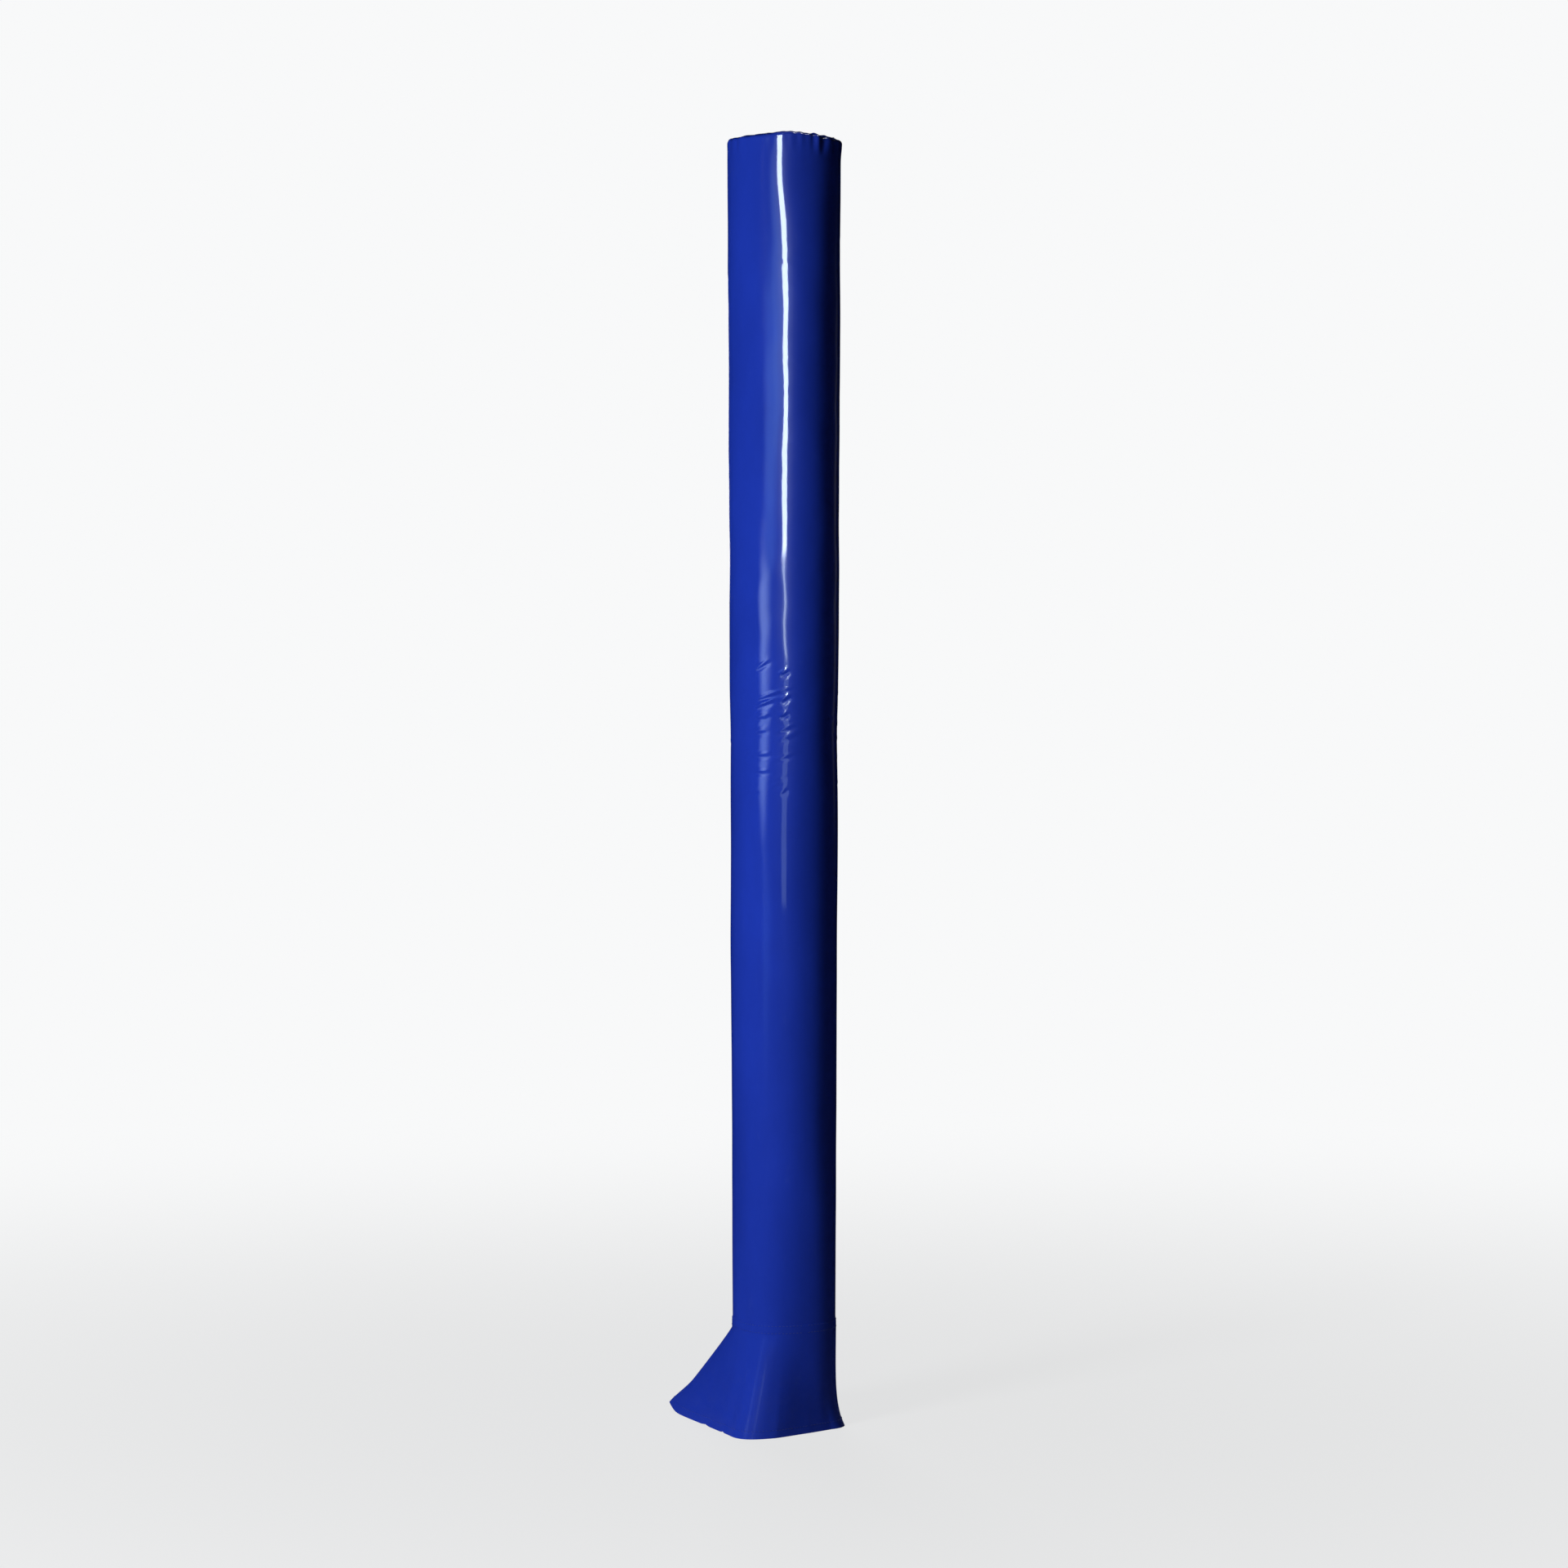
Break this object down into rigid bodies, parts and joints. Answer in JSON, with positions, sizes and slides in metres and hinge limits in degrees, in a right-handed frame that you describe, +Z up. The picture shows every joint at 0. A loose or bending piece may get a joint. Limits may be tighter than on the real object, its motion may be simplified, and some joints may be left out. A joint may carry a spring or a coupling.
{
  "type": "basketball pole pad",
  "caption": "Wrap-round padded cover for a square sports post: foam panels in blue tarpaulin hinged at the corners, a flap closure behind and a flared skirt at the foot",
  "frame": {"origin": "on the floor, below the middle of the whole outline's bounding box; the post's axis stands at x = 0.0222 m, y = -0.0545 m", "axes": "+Z up along the post; -Y is the front, towards the court; +Y is the rear, where the flap closes the pad; +X is the right side seen from the front court looking along +Y"},
  "size_m": [0.2572, 0.3726, 2.48],
  "materials": {
    "tarpaulin": "royal blue coated tarpaulin, glossy, with soft creases",
    "foot_tarpaulin": "the same tarpaulin, its duller inner side out",
    "liner_cloth": "grey woven lining cloth, matt",
    "foam": "off-white closed-cell foam, matt",
    "hook_and_loop": "black hook-and-loop tape, matt and fuzzy"
  },
  "bodies": {
    "front": {"front_foam_lower": "foam", "front_foam_upper": "foam", "front_cover": "tarpaulin", "front_liner": "liner_cloth", "front_top_hem": "tarpaulin", "front_foot_hem": "foot_tarpaulin", "front_skirt": "tarpaulin", "skirt_gusset_front_left": "tarpaulin", "skirt_gusset_front_right": "tarpaulin"},
    "left": {"left_foam_lower": "foam", "left_foam_upper": "foam", "left_cover": "tarpaulin", "left_liner": "liner_cloth", "left_top_hem": "tarpaulin", "left_foot_hem": "foot_tarpaulin", "left_skirt": "tarpaulin"},
    "right": {"right_foam_lower": "foam", "right_foam_upper": "foam", "right_cover": "tarpaulin", "right_liner": "liner_cloth", "right_top_hem": "tarpaulin", "right_foot_hem": "foot_tarpaulin", "right_skirt": "tarpaulin"},
    "left_leaf": {"left_leaf_foam_lower": "foam", "left_leaf_foam_upper": "foam", "left_leaf_cover": "tarpaulin", "left_leaf_liner": "liner_cloth", "left_leaf_top_hem": "tarpaulin", "left_leaf_foot_hem": "foot_tarpaulin", "left_leaf_skirt": "tarpaulin", "skirt_gusset_rear_left": "tarpaulin", "flap_anchor": "foot_tarpaulin"},
    "right_leaf": {"right_leaf_foam_lower": "foam", "right_leaf_foam_upper": "foam", "right_leaf_cover": "tarpaulin", "right_leaf_liner": "liner_cloth", "right_leaf_top_hem": "tarpaulin", "right_leaf_foot_hem": "foot_tarpaulin", "right_leaf_skirt": "tarpaulin", "skirt_gusset_rear_right": "tarpaulin", "loop_tape": "hook_and_loop"},
    "flap": {"closure_flap": "tarpaulin", "hook_tape": "hook_and_loop"}
  },
  "joints": [
    {"name": "left_side_swing", "type": "hinge", "parent": "front", "child": "left", "pos_m": [-0.05582, -0.13254, 0], "axis": [0, 0, 1], "range_deg": [0, 90], "deforming": ["skirt_gusset_front_left"]},
    {"name": "right_side_swing", "type": "hinge", "parent": "front", "child": "right", "pos_m": [0.10028, -0.13254, 0], "axis": [0, 0, 1], "range_deg": [-90, 0], "deforming": ["skirt_gusset_front_right"]},
    {"name": "left_leaf_swing", "type": "hinge", "parent": "left", "child": "left_leaf", "pos_m": [-0.05582, 0.02356, 0], "axis": [0, 0, 1], "range_deg": [0, 90], "deforming": ["skirt_gusset_rear_left"]},
    {"name": "right_leaf_swing", "type": "hinge", "parent": "right", "child": "right_leaf", "pos_m": [0.10028, 0.02356, 0], "axis": [0, 0, 1], "range_deg": [-90, 0], "deforming": ["skirt_gusset_rear_right"]},
    {"name": "flap_peel", "type": "hinge", "parent": "left_leaf", "child": "flap", "pos_m": [0.01023, 0.04106, 0.231], "axis": [0, 0.0028, 1], "range_deg": [0, 150]}
  ],
  "couplings": [
    {"joint": "right_side_swing", "follows": "left_side_swing", "ratio": -1},
    {"joint": "right_leaf_swing", "follows": "left_leaf_swing", "ratio": -1}
  ]
}
